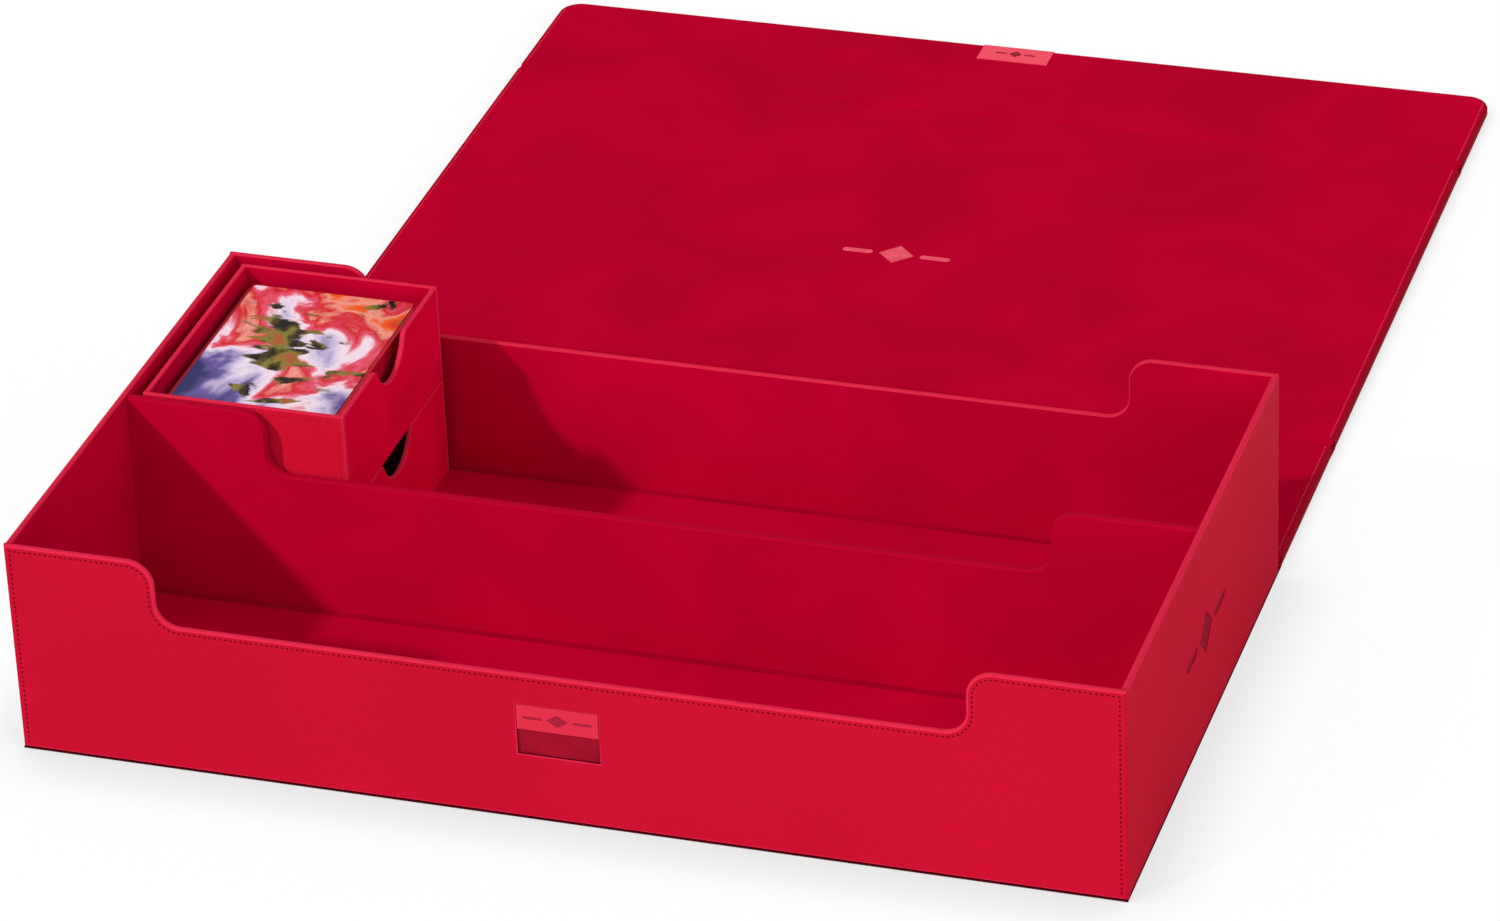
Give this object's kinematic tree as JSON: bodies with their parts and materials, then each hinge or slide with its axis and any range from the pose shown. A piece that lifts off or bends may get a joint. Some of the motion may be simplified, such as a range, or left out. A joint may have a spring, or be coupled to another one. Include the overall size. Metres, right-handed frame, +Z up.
{
  "type": "card deck box",
  "caption": "Open two-row card storage case with scalloped walls and divider, a three-panel fold-over lid lying flat behind, stacked card trays and a deck.",
  "frame": {"origin": "centre of the case's underside, on the surface it stands on", "axes": "+Z up; +Y from the case's front wall towards the hinge and the open lid; +X to the right seen from the front"},
  "size_m": [0.4, 0.6, 0.083],
  "materials": {
    "leather_skin": "fine-grained crimson imitation leather, satin",
    "turned_edge": "crimson imitation leather turned over the edge, satin",
    "microfibre": "deep crimson brushed microfibre, matt",
    "greyboard": "raw greyboard, matt",
    "woven_label": "light red woven ribbon, matt",
    "window_fabric": "dark red microfibre, matt",
    "debossed_mark": "pressed darker mark in the leather",
    "foil_mark": "light red pressed mark, satin",
    "steel": "plain steel",
    "magnet": "nickel-plated magnet",
    "sleeves": "red polypropylene card sleeves",
    "card_face": null
  },
  "bodies": {
    "case": {"base_skin": "leather_skin", "base_board": "greyboard", "floor_linings": "microfibre", "front_skin": "leather_skin", "front_board": "greyboard", "front_lining": "microfibre", "front_rim": "turned_edge", "front_label": "woven_label", "window_panel": "window_fabric", "steel_plates": "steel", "rear_skin": "leather_skin", "rear_board": "greyboard", "rear_lining": "microfibre", "rear_rim": "turned_edge", "left_skin": "leather_skin", "left_board": "greyboard", "left_lining": "microfibre", "left_rim": "turned_edge", "right_skin": "leather_skin", "right_board": "greyboard", "right_lining": "microfibre", "right_rim": "turned_edge", "side_emblem": "debossed_mark", "divider_board": "greyboard", "divider_front_lining": "microfibre", "divider_rear_lining": "microfibre", "divider_rim": "turned_edge"},
    "lid_back": {"lid_back_skin": "leather_skin", "lid_back_board": "greyboard", "lid_back_lining": "microfibre"},
    "lid_top": {"lid_top_skin": "leather_skin", "lid_top_board": "greyboard", "lid_top_lining": "microfibre", "lid_emblem": "foil_mark"},
    "lid_flap": {"flap_skin": "leather_skin", "flap_board": "greyboard", "flap_lining": "microfibre", "flap_tab": "woven_label", "flap_magnets": "magnet"},
    "lower_tray": {"lower_tray_floor": "greyboard", "lower_tray_ends": "greyboard", "lower_tray_left_side": "greyboard", "lower_tray_right_side": "greyboard", "lower_tray_skin": "leather_skin", "lower_tray_lining": "microfibre", "lower_tray_rim": "turned_edge"},
    "upper_tray": {"upper_tray_floor": "greyboard", "upper_tray_ends": "greyboard", "upper_tray_left_side": "greyboard", "upper_tray_right_side": "greyboard", "upper_tray_skin": "leather_skin", "upper_tray_lining": "microfibre", "upper_tray_rim": "turned_edge"},
    "deck": {"sleeved_cards": "sleeves", "top_card": "card_face"}
  },
  "joints": [
    {"name": "lid_back_fold", "type": "hinge", "parent": "case", "child": "lid_back", "pos_m": [0, 0.1143, 0.0003], "axis": [-1, 0, 0], "range_deg": [-90, 0]},
    {"name": "lid_top_fold", "type": "hinge", "parent": "lid_back", "child": "lid_top", "pos_m": [0, 0.2013, 0.0003], "axis": [-1, 0, 0], "range_deg": [-90, 0]},
    {"name": "lid_flap_fold", "type": "hinge", "parent": "lid_top", "child": "lid_flap", "pos_m": [0, 0.4299, 0.0003], "axis": [-1, 0, 0], "range_deg": [-90, 0]},
    {"name": "lower_tray_lift", "type": "slide", "parent": "case", "child": "lower_tray", "axis": [0, 0, 1], "range_m": [0, 0.1]},
    {"name": "upper_tray_lift", "type": "slide", "parent": "lower_tray", "child": "upper_tray", "axis": [0, 0, 1], "range_m": [0, 0.06]},
    {"name": "deck_lift", "type": "slide", "parent": "upper_tray", "child": "deck", "axis": [0, 0, 1], "range_m": [0, 0.05]}
  ]
}
